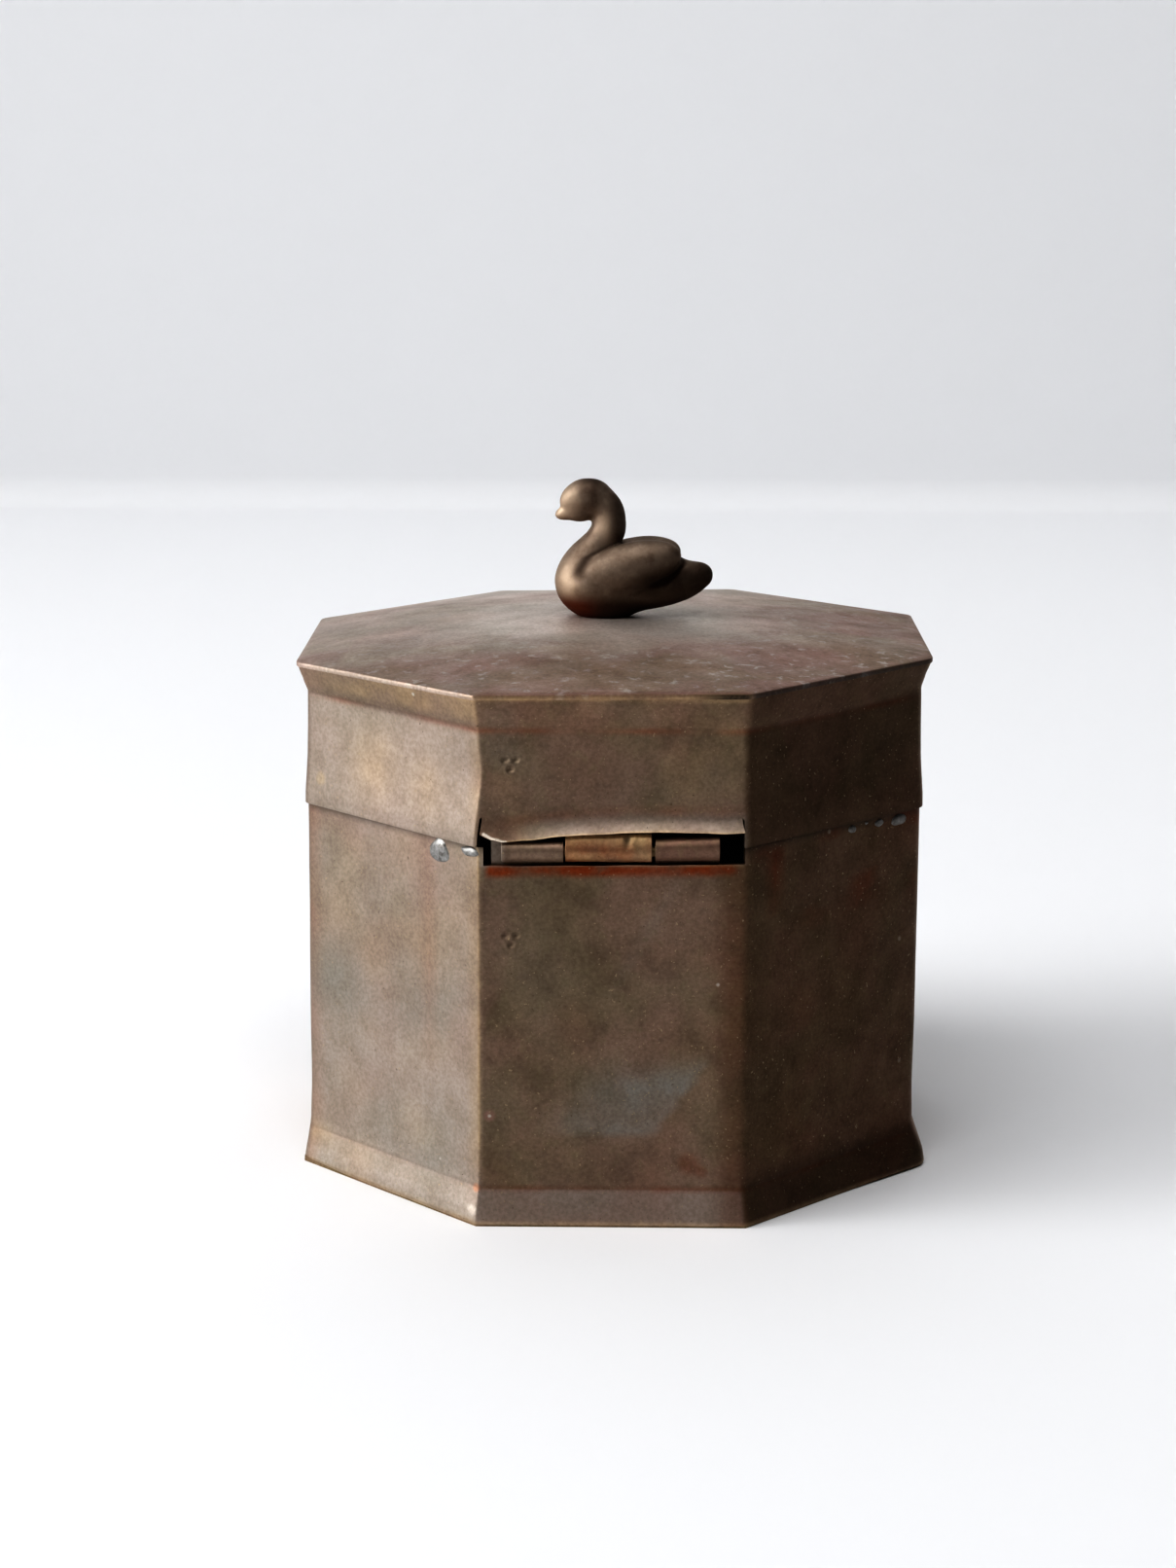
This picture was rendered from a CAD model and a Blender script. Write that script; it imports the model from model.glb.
import math

import bmesh
import bpy
from mathutils import Matrix, Quaternion, Vector, noise


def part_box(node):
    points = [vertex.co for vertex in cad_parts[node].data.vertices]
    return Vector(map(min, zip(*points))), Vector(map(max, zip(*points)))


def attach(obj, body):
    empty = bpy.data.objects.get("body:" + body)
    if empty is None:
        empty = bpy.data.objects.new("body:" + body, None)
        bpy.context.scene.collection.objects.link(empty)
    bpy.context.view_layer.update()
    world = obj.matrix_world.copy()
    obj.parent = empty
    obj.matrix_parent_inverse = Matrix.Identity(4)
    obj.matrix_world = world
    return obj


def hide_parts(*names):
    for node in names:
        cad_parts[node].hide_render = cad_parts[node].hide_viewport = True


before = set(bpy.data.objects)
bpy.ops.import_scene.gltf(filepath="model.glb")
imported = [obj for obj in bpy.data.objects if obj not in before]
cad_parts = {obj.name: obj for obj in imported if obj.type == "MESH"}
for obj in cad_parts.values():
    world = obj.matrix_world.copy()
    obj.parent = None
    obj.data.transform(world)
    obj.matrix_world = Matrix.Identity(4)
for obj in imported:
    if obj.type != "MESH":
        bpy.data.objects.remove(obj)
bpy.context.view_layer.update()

# A tarnished brass needle box with a hinged lid and a swan for a knob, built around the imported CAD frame.
# Lengths in this script are millimetres, turned into metres where a mesh is written.

MM = 0.001
SIDES = 8
FACE_TURN = math.tau / SIDES
HALF_TURN = FACE_TURN / 2
TAN_HALF = math.tan(HALF_TURN)


def node_box(node):
    """A CAD node's lowest and highest corner in millimetres."""
    low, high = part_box(node)
    return low / MM, high / MM


WALL_LOW, WALL_HIGH = node_box("body_wall")
SKIRT_LOW, SKIRT_HIGH = node_box("lid_skirt")
PLATE_LOW, PLATE_HIGH = node_box("lid_top")
BODY_LEAF_LOW, BODY_LEAF_HIGH = node_box("body_hinge_leaf")
LID_LEAF_LOW, LID_LEAF_HIGH = node_box("lid_hinge_leaf")
PIN_LOW, PIN_HIGH = node_box("hinge_pin")

SHEET = 0.8
WALL_APOTHEM = 45.0
PIN_Y = (PIN_LOW.y + PIN_HIGH.y) / 2
PIN_Z = (PIN_LOW.z + PIN_HIGH.z) / 2


# -------- small maths

def lerp(a, b, share):
    return a + (b - a) * share


def smooth(low, high, value):
    """0 below low, 1 above high, with a soft S between."""
    share = min(1.0, max(0.0, (value - low) / (high - low)))
    return share * share * (3 - 2 * share)


def bump(centre, width, value):
    """1 at the centre, falling softly to 0 one width away."""
    return 1 - smooth(0, width, abs(value - centre))


def bell(*offsets):
    """1 where every offset is 0, falling off as a bell curve: about a third at an offset of 1."""
    return math.exp(-sum(offset ** 2 for offset in offsets))


def along_curve(points, value, eased=True):
    """The second number of (place, number) pairs at a place, eased or straight between the pairs."""
    if value <= points[0][0]:
        return points[0][1]
    for (low, first), (high, second) in zip(points, points[1:]):
        if value <= high:
            share = smooth(low, high, value) if eased else (value - low) / (high - low)
            return lerp(first, second, share)
    return points[-1][1]


def ripple(place, scale, seed=0.0):
    """Smooth noise from -1 to 1, with features about one scale wide."""
    return noise.noise(Vector(place) / scale + Vector((seed, seed * 1.7, seed * 0.6)))


def spread(low, high, count):
    return [lerp(low, high, step / count) for step in range(count + 1)]


def merged(*lists):
    """Sorted numbers from several lists, without near repeats."""
    least_gap = 0.04
    found = []
    for value in sorted(number for part in lists for number in part):
        if not found or value - found[-1] > least_gap:
            found.append(value)
    return found


# -------- octagon

def outward(face):
    return Vector((math.sin(face * FACE_TURN), -math.cos(face * FACE_TURN), 0))


def sideways(face):
    return Vector((math.cos(face * FACE_TURN), math.sin(face * FACE_TURN), 0))


# Corner k lies between face k and face k + 1. The last one is the seam, where the strip's ends meet.
CORNER_RADII = [1.9, 3.0, 2.5, 2.3, 2.4, 2.5, 3.0, 0.7]
SEAM = SIDES - 1
RIGHT_CORNER = 1
LEFT_CORNER = 6
LEAST_RADIUS = 0.12
# Faces: 0 is the hinge face, and these are its neighbours.
LEFT = -1
RIGHT = 1


def on_sheet(face, along, height, apothem=WALL_APOTHEM):
    """A place on one of the box's upright faces."""
    return outward(face) * apothem + sideways(face) * along + Vector((0, 0, height))


def flat_ends(face, apothem):
    """How far a flat reaches to the left and to the right of its middle, between the bends."""
    return [(apothem - CORNER_RADII[corner]) * TAN_HALF for corner in (face - 1, face)]


class Column:
    """One upright line on the folded sheet: some share of the way across a flat, or round a bend."""

    def __init__(self, face, share, bend):
        self.face = face % SIDES
        self.share = share
        self.bend = bend

    def place(self, apothem, inwards=0.0):
        """The point at that apothem, and the sheet's outward direction there."""
        if self.bend:
            radius = CORNER_RADII[self.face]
            core = apothem - radius
            centre = outward(self.face) * core + sideways(self.face) * core * TAN_HALF
            normal = outward(self.face + self.share)
            return centre + normal * max(radius - inwards, LEAST_RADIUS), normal
        left, right = flat_ends(self.face, apothem)
        across = lerp(-left, right, self.share)
        normal = outward(self.face)
        return normal * (apothem - inwards) + sideways(self.face) * across, normal


def flat_share(face, across, apothem):
    """Where on a flat a distance from the face's middle lies."""
    left, right = flat_ends(face, apothem)
    return (across + left) / (left + right)


def hinge_shares(steps, extra):
    """Even shares and the extra ones, without an even share that nearly repeats its neighbour."""
    least_gap = 0.004
    shares = sorted(set(spread(0, 1, steps)) | set(extra))
    kept = [shares[0]]
    for share in shares[1:]:
        near = share - kept[-1] < least_gap
        if share in extra and near and kept[-1] not in extra and len(kept) > 1:
            kept.pop()
        if share in extra or not near:
            kept.append(share)
    return kept


def make_columns(flat_steps, bend_steps, extra=()):
    """Columns round the box, anticlockwise seen from above. Extra: more shares on the hinge face."""
    columns = []
    for face in range(SIDES):
        shares = spread(0, 1, flat_steps) if face else hinge_shares(flat_steps * 2, extra)
        columns += [Column(face, share, False) for share in shares]
        columns += [Column(face, step / bend_steps, True) for step in range(1, bend_steps)]
    return columns


# -------- meshes

def add_object(name, data):
    """A new object in the scene, from a mesh, a light or a camera."""
    made = bpy.data.objects.new(name, data)
    bpy.context.scene.collection.objects.link(made)
    return made


def shade_smooth(mesh):
    for polygon in mesh.polygons:
        polygon.use_smooth = True


def new_piece(name, points, faces):
    """A mesh object from millimetre points, shaded smooth except at sharp edges."""
    sharp_angle = math.radians(35)
    mesh = bpy.data.meshes.new(name)
    mesh.from_pydata([point * MM for point in points], [], faces)
    mesh.validate()
    fix = bmesh.new()
    fix.from_mesh(mesh)
    bmesh.ops.recalc_face_normals(fix, faces=fix.faces)
    fix.to_mesh(mesh)
    fix.free()
    shade_smooth(mesh)
    mesh.set_sharp_from_angle(angle=sharp_angle)
    return add_object(name, mesh)


def ball_piece(name, subdivisions, place):
    """A closed ball whose points, one unit from its middle, are moved by a rule that gives millimetres."""
    ball = bmesh.new()
    bmesh.ops.create_icosphere(ball, subdivisions=subdivisions, radius=1)
    for vertex in ball.verts:
        vertex.co = place(vertex.co.copy()) * MM
    mesh = bpy.data.meshes.new(name)
    ball.to_mesh(mesh)
    ball.free()
    return add_object(name, mesh)


def join_pieces(name, pieces):
    """One object from several closed meshes."""
    bpy.ops.object.select_all(action="DESELECT")
    for piece in pieces:
        piece.select_set(True)
    bpy.context.view_layer.objects.active = pieces[0]
    bpy.ops.object.join()
    joined = bpy.context.view_layer.objects.active
    joined.name = name
    joined.data.name = name
    return joined


def soften_edges(piece, width):
    """Break the sharp edges, as handling and filing do."""
    bevel = piece.modifiers.new("worn_edges", "BEVEL")
    bevel.width = width * MM
    bevel.segments = 2
    bevel.limit_method = "ANGLE"
    bevel.angle_limit = math.radians(40)
    bevel.harden_normals = False


def paint(piece, name, rule):
    """A point attribute from 0 to 1, from a rule that is given the point in millimetres."""
    values = [min(1.0, max(0.0, rule(vertex.co / MM))) for vertex in piece.data.vertices]
    attribute = piece.data.attributes.new(name, "FLOAT", "POINT")
    attribute.data.foreach_set("value", values)


def loop_faces(loops, wide, closed=False):
    """Four-sided faces between neighbouring loops of points. Closed: the last loop meets the first."""
    faces = []
    for loop in range(loops if closed else loops - 1):
        here = loop * wide
        there = (loop + 1) % loops * wide
        for number in range(wide):
            right = (number + 1) % wide
            faces.append([here + number, here + right, there + right, there + number])
    return faces


def sheet_shell(name, columns, rows, place, keep):
    """A closed sheet of metal from a grid of columns and rows, with an outer and an inner skin.

    place(column, row, inside) gives a point; keep(column, row) says whether the cell to the right of
    that column and above that row is metal.
    """
    wide = len(columns)
    high = len(rows)
    points = []
    for inside in (False, True):
        for row in rows:
            points += [place(column, row, inside) for column in columns]

    def index(column, row, inside):
        return (high if inside else 0) * wide + row * wide + column % wide

    cells = {(c, r) for c in range(wide) for r in range(high - 1) if keep(c, r)}
    faces = []
    for c, r in sorted(cells):
        corners = [(c, r), (c + 1, r), (c + 1, r + 1), (c, r + 1)]
        faces.append([index(*corner, False) for corner in corners])
        faces.append([index(*corner, True) for corner in (corners[0], corners[3], corners[2], corners[1])])
        borders = [
            ((c, r - 1), (c, r), (c + 1, r)),
            ((c, r + 1), (c + 1, r + 1), (c, r + 1)),
            (((c - 1) % wide, r), (c, r + 1), (c, r)),
            (((c + 1) % wide, r), (c + 1, r), (c + 1, r + 1)),
        ]
        for neighbour, start, finish in borders:
            if neighbour not in cells:
                faces.append([index(*start, False), index(*start, True),
                              index(*finish, True), index(*finish, False)])
    used = sorted({number for face in faces for number in face})
    renumber = {old: new for new, old in enumerate(used)}
    faces = [[renumber[number] for number in face] for face in faces]
    return new_piece(name, [points[number] for number in used], faces)


def hand_made(point, normal, strength, seed):
    """A push along the normal that makes a flat sheet look hammered and handled."""
    broad = ripple(point, 26, seed) * 0.6
    fine = ripple(point, 9, seed + 3) * 0.25
    return normal * (broad + fine) * strength


# -------- box wall

WALL_TOP = WALL_HIGH.z
WALL_BOTTOM = WALL_LOW.z - 0.42
FOOT_APOTHEM = WALL_HIGH.x
SLOT_LEFT = -17.9
SLOT_RIGHT = 18.3
SLOT_BOTTOM = 52.7
SLOT_SLANT = 0.22
SLOT_BLEND = 2.4
FOOT_CREASE = 5.4
RIGHT_SPLAY = 0.5
LEFT_SPLAY = -0.2
RIGHT_WAIST = -0.35
HINGE_SIDE_Y = -40
EDGE_WEAR = 0.14
FLAT_STEPS = 14
BEND_STEPS = 5
BEND_REACH = 18
WALL_DENTS = 0.24

# Height and apothem, from the foot's lower edge to the mouth.
WALL_PROFILE = [
    (WALL_BOTTOM, FOOT_APOTHEM - 0.10), (WALL_BOTTOM + 0.4, FOOT_APOTHEM), (2.2, FOOT_APOTHEM - 0.25),
    (3.6, FOOT_APOTHEM - 0.57), (FOOT_CREASE - 0.4, FOOT_APOTHEM - 0.89),
    (FOOT_CREASE + 0.1, FOOT_APOTHEM - 1.0), (FOOT_CREASE + 1.2, FOOT_APOTHEM - 1.12),
    (12, 45.2), (30, 45.05), (44, WALL_APOTHEM), (WALL_TOP, WALL_APOTHEM),
]

# Three centre-punch dots, the maker's fitting mark, on the box and on the lid.
MARK_X = -14.1
MARK_REACH = 2.2
MARK_STEPS = 22
WALL_MARK_Z = 42.0
SKIRT_MARK_Z = 67.1
MARK_DOTS = [(-0.75, 0.55), (0.75, 0.55), (0, -0.8)]
DOT_RADIUS = 0.55
DOT_DEPTH = 0.28
BURR_RADIUS = 0.72
BURR_WIDTH = 0.25
BURR_HEIGHT = 0.05


def punch_depth(across, height, mark_height):
    """The depth of the dots, each with a faint burr raised round it."""
    depth = 0
    for dot_x, dot_z in MARK_DOTS:
        distance = math.hypot(across - MARK_X - dot_x, height - mark_height - dot_z)
        depth += DOT_DEPTH * max(0, 1 - (distance / DOT_RADIUS) ** 2)
        depth -= BURR_HEIGHT * bump(BURR_RADIUS, BURR_WIDTH, distance)
    return depth


def punched(column, inside):
    """Whether a column lies where the mark is struck: outside, on the hinge face's flat."""
    return column.face == 0 and not column.bend and not inside


def mark_columns():
    """Extra columns on the hinge face, close together across the punch mark."""
    places = spread(MARK_X - MARK_REACH, MARK_X + MARK_REACH, MARK_STEPS)
    return [flat_share(0, across, WALL_APOTHEM) for across in places]


def mark_rows(mark_height):
    return spread(mark_height - MARK_REACH, mark_height + MARK_REACH, MARK_STEPS)


def wall_rows():
    """Heights of the wall's rows: close together at the foot's crease, the punch mark and the slot."""
    return merged(
        spread(WALL_BOTTOM, FOOT_CREASE - 0.35, 14), spread(FOOT_CREASE - 0.2, FOOT_CREASE + 0.4, 4),
        spread(FOOT_CREASE + 0.8, 8, 4), spread(8, 44, 30), mark_rows(WALL_MARK_Z),
        spread(44, SLOT_BOTTOM - SLOT_BLEND, 6), spread(SLOT_BOTTOM - SLOT_BLEND, SLOT_BOTTOM - 0.4, 5),
        [SLOT_BOTTOM - 0.22, SLOT_BOTTOM - 0.1], spread(SLOT_BOTTOM, WALL_TOP, 4))


def bent_corners(point, height):
    """How far the wall is pushed out at the two corners beside the hinge's neighbouring faces."""
    right = corner_nearness(point, RIGHT_CORNER, BEND_REACH)
    left = corner_nearness(point, LEFT_CORNER, BEND_REACH)
    foot = smooth(FOOT_CREASE + 0.5, 2.2, height)
    waist = smooth(FOOT_CREASE - 1, FOOT_CREASE + 2, height) * smooth(30, 10, height)
    return (RIGHT_SPLAY * right + LEFT_SPLAY * left) * foot + RIGHT_WAIST * right * waist


def slot_edge_lift(across, height):
    """The slot's lower edge slants up to the right and is a little wavy."""
    lift = SLOT_SLANT * (across / SLOT_RIGHT) + 0.08 * ripple((across, 0, 0), 5)
    below = smooth(SLOT_BOTTOM - SLOT_BLEND, SLOT_BOTTOM - 0.4, height)
    return lift * below * (1 - smooth(SLOT_BOTTOM, WALL_TOP, height))


def build_body_wall():
    """The folded wall with its foot, and the slot for the hinge cut out of its hinge face."""
    slot_end = flat_share(0, SLOT_LEFT, WALL_APOTHEM)
    columns = make_columns(FLAT_STEPS, BEND_STEPS, tuple(mark_columns() + [slot_end]))
    rows = wall_rows()

    def place(column, height, inside):
        apothem = along_curve(WALL_PROFILE, height, eased=False)
        point, normal = column.place(apothem, SHEET if inside else 0)
        point.z = height
        near_hinge = smooth(46, 52, height) * bump(0, 1.5, min(column.face, SIDES - column.face))
        point += normal * bent_corners(point, height)
        dents = WALL_DENTS * lerp(0.35, 1.0, smooth(2, 10, height)) * (1 - 0.75 * near_hinge)
        point += hand_made(point, normal, dents, 1.3)
        if punched(column, inside):
            point -= normal * punch_depth(point.x, height, WALL_MARK_Z)
        if column.face == 0:
            point.z += slot_edge_lift(point.x, height)
        return point

    def keep(c, r):
        if rows[r] < SLOT_BOTTOM - 1e-6:
            return True
        left = columns[c].place(WALL_APOTHEM)[0]
        right = columns[(c + 1) % len(columns)].place(WALL_APOTHEM)[0]
        middle = (left + right) / 2
        return not (middle.y < HINGE_SIDE_Y and SLOT_LEFT < middle.x < SLOT_RIGHT)

    wall = sheet_shell("body_wall_sheet", columns, rows, place, keep)
    soften_edges(wall, EDGE_WEAR)
    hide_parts("body_wall")
    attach(wall, "box")
    return wall


# -------- lid skirt

SKIRT_BOTTOM = SKIRT_LOW.z
SKIRT_TOP = SKIRT_HIGH.z
SKIRT_CREASE = 71.7
SKIRT_APOTHEM = 45.3
LIP_ROOT = 60.0
LIP_HALF = 18.05
LIP_PROUD = 46.42
SLIT_WIDTH = 0.25
SLIT_TOP = 58.9
SKIRT_DENTS = 0.2

# Height and apothem, from the lower edge to the rim.
SKIRT_PROFILE = [
    (SKIRT_BOTTOM, 45.42), (57, 45.40), (59.5, 45.22), (62.5, 45.02), (67, 44.88),
    (SKIRT_CREASE - 0.1, 44.8), (SKIRT_CREASE + 0.15, 44.86), (73.0, 45.26), (74.6, 45.68),
    (SKIRT_TOP, 46.05),
]
# The lower edge of the lip over the hinge, from the left: it curls up at the left end and dips beside it.
LIP_EDGE = [(-18.2, 57.3), (-16.4, 56.55), (-14.8, 56.25), (-11.8, 56.5), (-6.5, 57.15), (-4, 57.35),
            (-1.3, 57.45), (2, 57.7), (7, 57.8), (12, 57.72), (15.4, 57.6), (18.2, 57.75)]


def lip_place(across, share):
    """Apothem and height on the lip: share 0 is its edge, 1 is its root in the skirt."""
    edge_height = along_curve(LIP_EDGE, across)
    edge_apothem = LIP_PROUD - 0.3 * smooth(-15.5, -18.2, across) - 0.12 * smooth(14, 18.2, across)
    root_apothem = along_curve(SKIRT_PROFILE, LIP_ROOT, eased=False)
    middle_apothem = root_apothem + 0.1
    middle_height = lerp(edge_height, LIP_ROOT, 0.52)
    first = (1 - share) ** 2
    second = 2 * share * (1 - share)
    third = share ** 2
    return (edge_apothem * first + middle_apothem * second + root_apothem * third,
            edge_height * first + middle_height * second + LIP_ROOT * third)


def rim_tilt(point):
    """The lid's rim is not quite level: a little high on the right and low at the opening side."""
    return 0.011 * point.x - 0.0055 * (point.y + SKIRT_HIGH.y)


def crease_rise(column):
    """The flare starts higher at the corners beside the hinge's neighbouring faces."""
    point = column.place(SKIRT_PROFILE[0][1])[0]
    return 1.1 * corner_nearness(point, RIGHT_CORNER, 14) + 0.6 * corner_nearness(point, LEFT_CORNER, 14)


def skirt_rows():
    """Rows of the skirt: shares of the way up to the lip's root, then heights above it."""
    heights = merged(
        spread(LIP_ROOT + 0.5, SKIRT_MARK_Z - MARK_REACH, 8), mark_rows(SKIRT_MARK_Z),
        spread(SKIRT_MARK_Z + MARK_REACH, SKIRT_CREASE - 0.1, 6), spread(SKIRT_CREASE + 0.15, SKIRT_TOP, 12))
    return [("low", share) for share in spread(0, 1, 12)] + [("high", height) for height in heights]


def across_of(column):
    """How far right of the middle a column lies on the hinge side, or None on the other sides."""
    point = column.place(SKIRT_APOTHEM)[0]
    return point.x if point.y < HINGE_SIDE_Y else None


def on_lip(column):
    across = across_of(column)
    return across is not None and abs(across) <= LIP_HALF + 0.01


def seam_kick(point, height):
    """The skirt is kicked to the right in its middle and to the left at its lower edge, beside the seam."""
    kick = 0.55 * bump(65.5, 6, height) - 0.45 * smooth(61, SKIRT_BOTTOM, height)
    return Vector((kick * corner_nearness(point, SEAM, 6), 0, 0))


def build_lid_skirt():
    """The lid's folded side with its flare, and the lip that is slit free and bent out over the hinge."""
    slits = [flat_share(0, -LIP_HALF, SKIRT_APOTHEM), flat_share(0, -LIP_HALF - SLIT_WIDTH, SKIRT_APOTHEM)]
    columns = make_columns(FLAT_STEPS, BEND_STEPS, tuple(mark_columns() + slits))
    rows = skirt_rows()

    def place(column, row, inside):
        kind, value = row
        height = lerp(SKIRT_BOTTOM, LIP_ROOT, value) if kind == "low" else value
        late = smooth(68, SKIRT_CREASE, height) * smooth(SKIRT_TOP, 74.5, height)
        apothem = along_curve(SKIRT_PROFILE, height - crease_rise(column) * late, eased=False)
        lip = kind == "low" and on_lip(column)
        if lip:
            apothem, height = lip_place(across_of(column), value)
        point, normal = column.place(apothem, SHEET if inside else 0)
        point.z = height
        if lip and inside:
            lean = 1 - value
            point.z -= 0.25 * lean
            point += normal * 0.1 * lean
        kick = Vector() if lip else seam_kick(point, height)
        dents = SKIRT_DENTS * (1 - 0.7 * smooth(74, SKIRT_TOP, height))
        point += hand_made(Vector((point.x, point.y, height)), normal, dents, 8.1) + kick
        if kind == "low" and value == 0 and not lip:
            point.z += 0.18 * ripple((point.x, point.y, 0), 14, 2.2)
        if punched(column, inside):
            point -= normal * punch_depth(point.x, height, SKIRT_MARK_Z)
        point.z += rim_tilt(point) * smooth(SKIRT_CREASE - 3, SKIRT_TOP, height)
        return point

    def keep(c, r):
        kind, value = rows[r]
        if kind == "high" or lerp(SKIRT_BOTTOM, LIP_ROOT, value) > SLIT_TOP:
            return True
        return on_lip(columns[c]) == on_lip(columns[(c + 1) % len(columns)])

    skirt = sheet_shell("lid_skirt_sheet", columns, rows, place, keep)
    soften_edges(skirt, EDGE_WEAR)
    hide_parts("lid_skirt")
    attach(skirt, "lid")
    return skirt


# -------- lid top

PLATE_BOTTOM = PLATE_LOW.z
PLATE_EDGE_TOP = PLATE_BOTTOM + 0.8
SEAT_HEIGHT = PLATE_HIGH.z
DOME_RISE = SEAT_HEIGHT - PLATE_EDGE_TOP
RIM_APOTHEM = PLATE_HIGH.x
PLATE_APOTHEM = RIM_APOTHEM - 0.02
UNDER_APOTHEM = 44.2
KNOB_SEAT_SHARE = 0.13
KNOB_HOLE = 1.6
LEAST_APOTHEM = 2.4

# Apothem and height round the plate's edge, from the top to the underside.
PLATE_EDGE = [
    (PLATE_APOTHEM - 0.16, PLATE_EDGE_TOP), (PLATE_APOTHEM - 0.04, PLATE_EDGE_TOP - 0.07),
    (PLATE_APOTHEM, PLATE_EDGE_TOP - 0.22), (PLATE_APOTHEM, PLATE_BOTTOM + 0.2),
    (PLATE_APOTHEM - 0.06, PLATE_BOTTOM + 0.04), (PLATE_APOTHEM - 0.2, PLATE_BOTTOM),
]


def dome_height(share):
    rise = DOME_RISE * (1 - share ** 2) / (1 - KNOB_SEAT_SHARE ** 2)
    return PLATE_EDGE_TOP + min(rise, DOME_RISE)


def plate_top_point(column, share):
    """A point on the dome: rings turn from the octagon of the rim to circles round the knob."""
    corner = column.place(PLATE_APOTHEM)[0]
    round_point = Vector((corner.x, corner.y, 0)).normalized() * PLATE_APOTHEM * 1.02
    point = lerp(round_point, corner, share ** 1.4) * share
    calm = (1 - smooth(0.16, 0.06, share)) * (1 - share ** 6)
    waves = 0.16 * ripple(point, 24, 4.4) + 0.05 * ripple(point, 8, 5.5)
    point.z = dome_height(share) + calm * waves + rim_tilt(point) * share ** 2
    return point


def plate_edge_point(column, apothem, height):
    point, normal = column.place(apothem)
    point.z = height
    point += normal * 0.05 * ripple(point, 12, 6.1)
    point.z += rim_tilt(point)
    return point


def plate_under_point(column, apothem, height):
    reach = max(apothem, LEAST_APOTHEM)
    corner = column.place(reach)[0]
    flat = Vector((corner.x, corner.y, 0))
    point = lerp(flat.normalized() * apothem, flat * (apothem / reach), smooth(4, 30, apothem))
    point.z = height + rim_tilt(point) * (apothem / PLATE_APOTHEM) ** 2
    return point


def build_lid_top():
    """The domed plate: closed loops over the top, round the edge and back under it to the knob's hole."""
    columns = make_columns(12, 4)
    top = [KNOB_HOLE / PLATE_APOTHEM] + spread(0.08, 0.94, 34) + [0.965, 0.985]
    under = [(PLATE_APOTHEM - 1.9, PLATE_BOTTOM)]
    for share in (0.9, 0.7, 0.5, 0.3, 0.13, KNOB_HOLE / UNDER_APOTHEM):
        under.append((UNDER_APOTHEM * share, dome_height(share) - SHEET))
    points = [plate_top_point(column, share) for share in top for column in columns]
    points += [plate_edge_point(column, *ring) for ring in PLATE_EDGE for column in columns]
    points += [plate_under_point(column, *ring) for ring in under for column in columns]
    wide = len(columns)
    plate = new_piece("lid_top_plate", points, loop_faces(len(points) // wide, wide, closed=True))
    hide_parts("lid_top")
    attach(plate, "lid")
    return plate


# -------- hinge

KNUCKLE_RADIUS = 1.6
LEAF = 0.72
LEAF_WEAR = 0.07
KNUCKLE_LEFT = (-15.35, -6.75)
KNUCKLE_MIDDLE = (-6.5, 5.5)
KNUCKLE_RIGHT = (5.95, 14.9)
# The crack in the middle knuckle's edge, with a burr beside it.
NICK_X = 2.1
NICK_Z = PIN_Z + 1.7
NICK_DEPTH = 0.4
NICK_BURR = 0.14


def knuckle_push(point, seed):
    """How far a knuckle's skin is pushed away from the pin: a slight sway, the crack and its burr."""
    sway = 0.05 * ripple(point, 4, seed) + 0.02 * ripple(point, 1.5, seed + 2)
    nick = bell((point.x - NICK_X) / 0.45, (point.z - NICK_Z) / 0.6) * NICK_DEPTH
    burr = bell((point.x - NICK_X - 0.9) / 0.4, (point.z - NICK_Z - 0.2) / 0.5) * NICK_BURR
    return sway - nick + burr


def strip_section(line):
    """The outline of a strip LEAF thick whose centre line is given: one side, then the other side back."""
    there = []
    back = []
    for number, place in enumerate(line):
        before = Vector(line[max(number - 1, 0)])
        after = Vector(line[min(number + 1, len(line) - 1)])
        direction = (after - before).normalized()
        side = Vector((-direction.y, direction.x)) * LEAF / 2
        there.append(Vector(place) + side)
        back.append(Vector(place) - side)
    return there + back[::-1]


def strip_solid(name, line, left, right, steps, seed, rise=0.0):
    """A bent strip: a centre line of (y, z) points, thickened both ways and run along X.

    rise lifts the rolled part towards the right end.
    """
    section = strip_section(line)
    points = []
    for across in spread(left, right, steps):
        for place in section:
            point = Vector((across, place.x, place.y))
            point.z += rise * (across - left) / (right - left) * smooth(PIN_Z - 2, PIN_Z + 0.5, point.z)
            outwards = Vector((0, point.y - PIN_Y, point.z - PIN_Z))
            push = knuckle_push(point, seed) * smooth(0.9, 1.4, outwards.length)
            points.append(point + outwards.normalized() * push)
    wide = len(section)
    faces = loop_faces(steps + 1, wide)
    last = steps * wide
    for number in range(len(line) - 1):
        back = wide - 1 - number
        faces.append([number, number + 1, back - 1, back])
        faces.append([last + back, last + back - 1, last + number + 1, last + number])
    return new_piece(name, points, faces)


def roll(start_turn, finish_turn, swell=0.0, lift=0.0, steps=26):
    """Centre-line points round the pin; turn 0 is towards +Y and a quarter turn is up."""
    radius = KNUCKLE_RADIUS - LEAF / 2 - 0.02 + swell
    return [(PIN_Y + radius * math.cos(turn), PIN_Z + lift + radius * math.sin(turn))
            for turn in spread(start_turn, finish_turn, steps)]


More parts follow.
